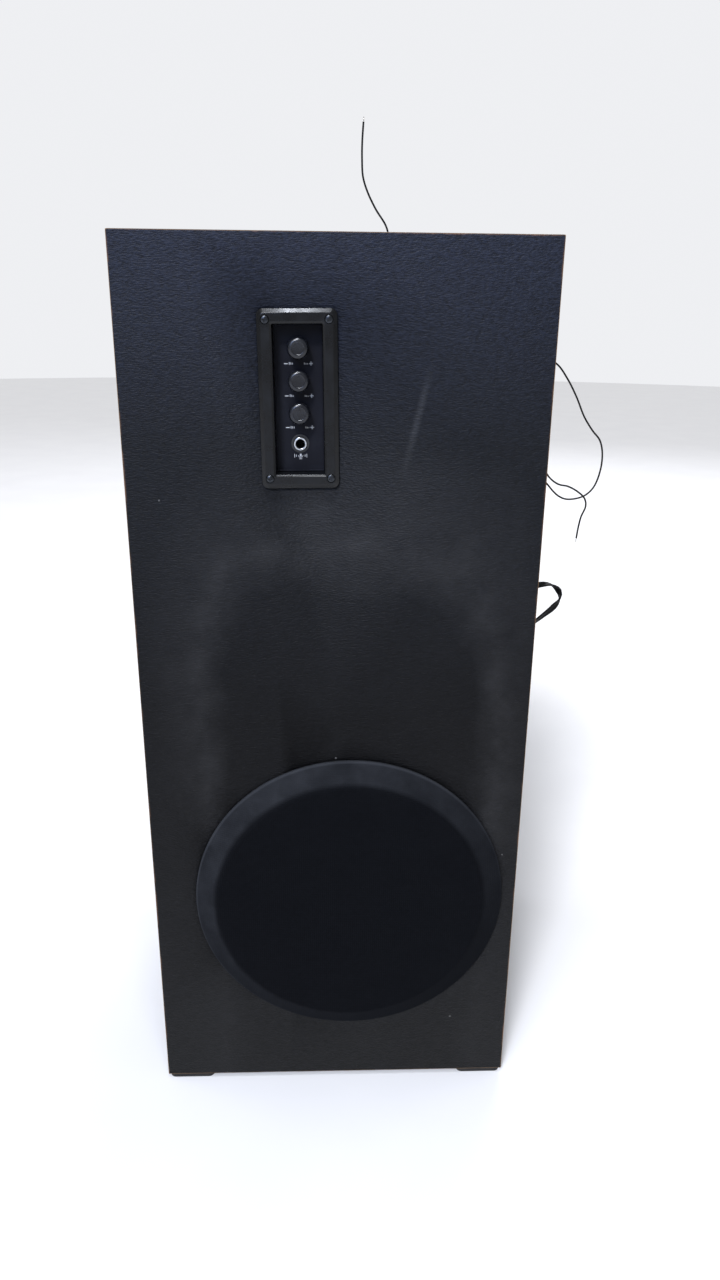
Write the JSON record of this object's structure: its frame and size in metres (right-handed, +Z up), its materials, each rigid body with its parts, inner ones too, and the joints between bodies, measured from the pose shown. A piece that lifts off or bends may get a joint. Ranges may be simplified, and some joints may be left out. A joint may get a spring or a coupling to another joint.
{
  "type": "party speaker",
  "caption": "Tall vinyl-covered powered speaker cabinet with one woofer behind a bevelled round grille, a recessed cup with rotary controls and a microphone socket, and loose leads at the back.",
  "frame": {"origin": "on the floor under the feet, at the middle of the bounding box of everything but the free leads", "axes": "+X to the right seen from the front, +Y towards the back, +Z up; the grille faces -Y"},
  "size_m": [0.4331, 0.465, 0.8261],
  "materials": {
    "vinyl_wrap": "black vinyl film with a fine grain over particle board, satin",
    "raw_board": "bare particle board",
    "rubber": "matt black rubber",
    "grille_cloth": "matt black stretched knit cloth",
    "black_plastic": "black moulded ABS, satin",
    "satin_plastic": "black moulded plastic, dull",
    "knob_plastic": "black moulded plastic, polished by fingers",
    "black_steel": "black powder coat",
    "plain_steel": "zinc plated",
    "bright_steel": "nickel plated, bright",
    "ferrite": "sintered ferrite, dull",
    "heatsink_aluminium": "extruded, mill finish",
    "paper": "black pressed paper pulp",
    "spider_cloth": "resin-stiffened cotton",
    "circuit_board": "green solder mask",
    "cord_pvc": "black PVC cord, satin"
  },
  "bodies": {
    "cabinet": {"left_panel": "vinyl_wrap", "right_panel": "vinyl_wrap", "top_panel": "vinyl_wrap", "bottom_panel": "vinyl_wrap", "front_baffle": "vinyl_wrap", "back_panel": "vinyl_wrap", "cross_brace": "raw_board", "foot_front_left": "rubber", "foot_front_right": "rubber", "foot_back_left": "rubber", "foot_back_right": "rubber", "woofer_surround": "rubber", "woofer_gasket": "rubber", "wire_grommet": "rubber", "strain_relief": "rubber", "grille_cloth": "grille_cloth", "grille_frame": "black_plastic", "control_cup": "black_plastic", "mic_jack_body": "black_plastic", "line_input_sockets": "black_plastic", "rocker_frame": "black_plastic", "mains_plug": "black_plastic", "control_fascia": "satin_plastic", "woofer_basket": "black_steel", "rear_plate": "black_steel", "transformer": "black_steel", "woofer_screw_1": "plain_steel", "woofer_screw_2": "plain_steel", "woofer_screw_3": "plain_steel", "woofer_screw_4": "plain_steel", "front_pole_plate": "plain_steel", "pole_yoke": "plain_steel", "volume_pot": "plain_steel", "bass_pot": "plain_steel", "treble_pot": "plain_steel", "wire_clip": "plain_steel", "cup_screw_1": "bright_steel", "cup_screw_2": "bright_steel", "cup_screw_3": "bright_steel", "cup_screw_4": "bright_steel", "mic_jack_ring": "bright_steel", "magnet_ring": "ferrite", "heatsink": "heatsink_aluminium", "spider": "spider_cloth", "tone_board": "circuit_board", "amplifier_board": "circuit_board", "mains_lead": "cord_pvc", "mains_coil": "cord_pvc", "aerial_lead_top": "cord_pvc", "aerial_lead_side": "cord_pvc"},
    "volume_control": {"volume_knob": "knob_plastic", "volume_shaft": "plain_steel"},
    "bass_control": {"bass_knob": "knob_plastic", "bass_shaft": "plain_steel"},
    "treble_control": {"treble_knob": "knob_plastic", "treble_shaft": "plain_steel"},
    "cone": {"woofer_cone": "paper", "dust_cap": "paper", "voice_coil": "spider_cloth"},
    "rocker": {"power_rocker": "satin_plastic"}
  },
  "joints": [
    {"name": "volume_turn", "type": "hinge", "parent": "cabinet", "child": "volume_control", "pos_m": [-0.02729, -0.1272, 0.639], "axis": [0, 1, 0], "range_deg": [-150, 150]},
    {"name": "bass_turn", "type": "hinge", "parent": "cabinet", "child": "bass_control", "pos_m": [-0.02698, -0.1272, 0.617], "axis": [0, 1, 0], "range_deg": [-150, 150]},
    {"name": "treble_turn", "type": "hinge", "parent": "cabinet", "child": "treble_control", "pos_m": [-0.02667, -0.1272, 0.595], "axis": [0, 1, 0], "range_deg": [-150, 150]},
    {"name": "cone_travel", "type": "slide", "parent": "cabinet", "child": "cone", "axis": [0, -1, 0], "range_m": [-0.004, 0.004], "stiffness_N_per_m": 2500, "deforming": ["woofer_surround", "spider"]},
    {"name": "rocker_press", "type": "hinge", "parent": "cabinet", "child": "rocker", "pos_m": [0.058, 0.1432, 0.462], "axis": [1, 0, 0], "range_deg": [-14, 0]}
  ]
}
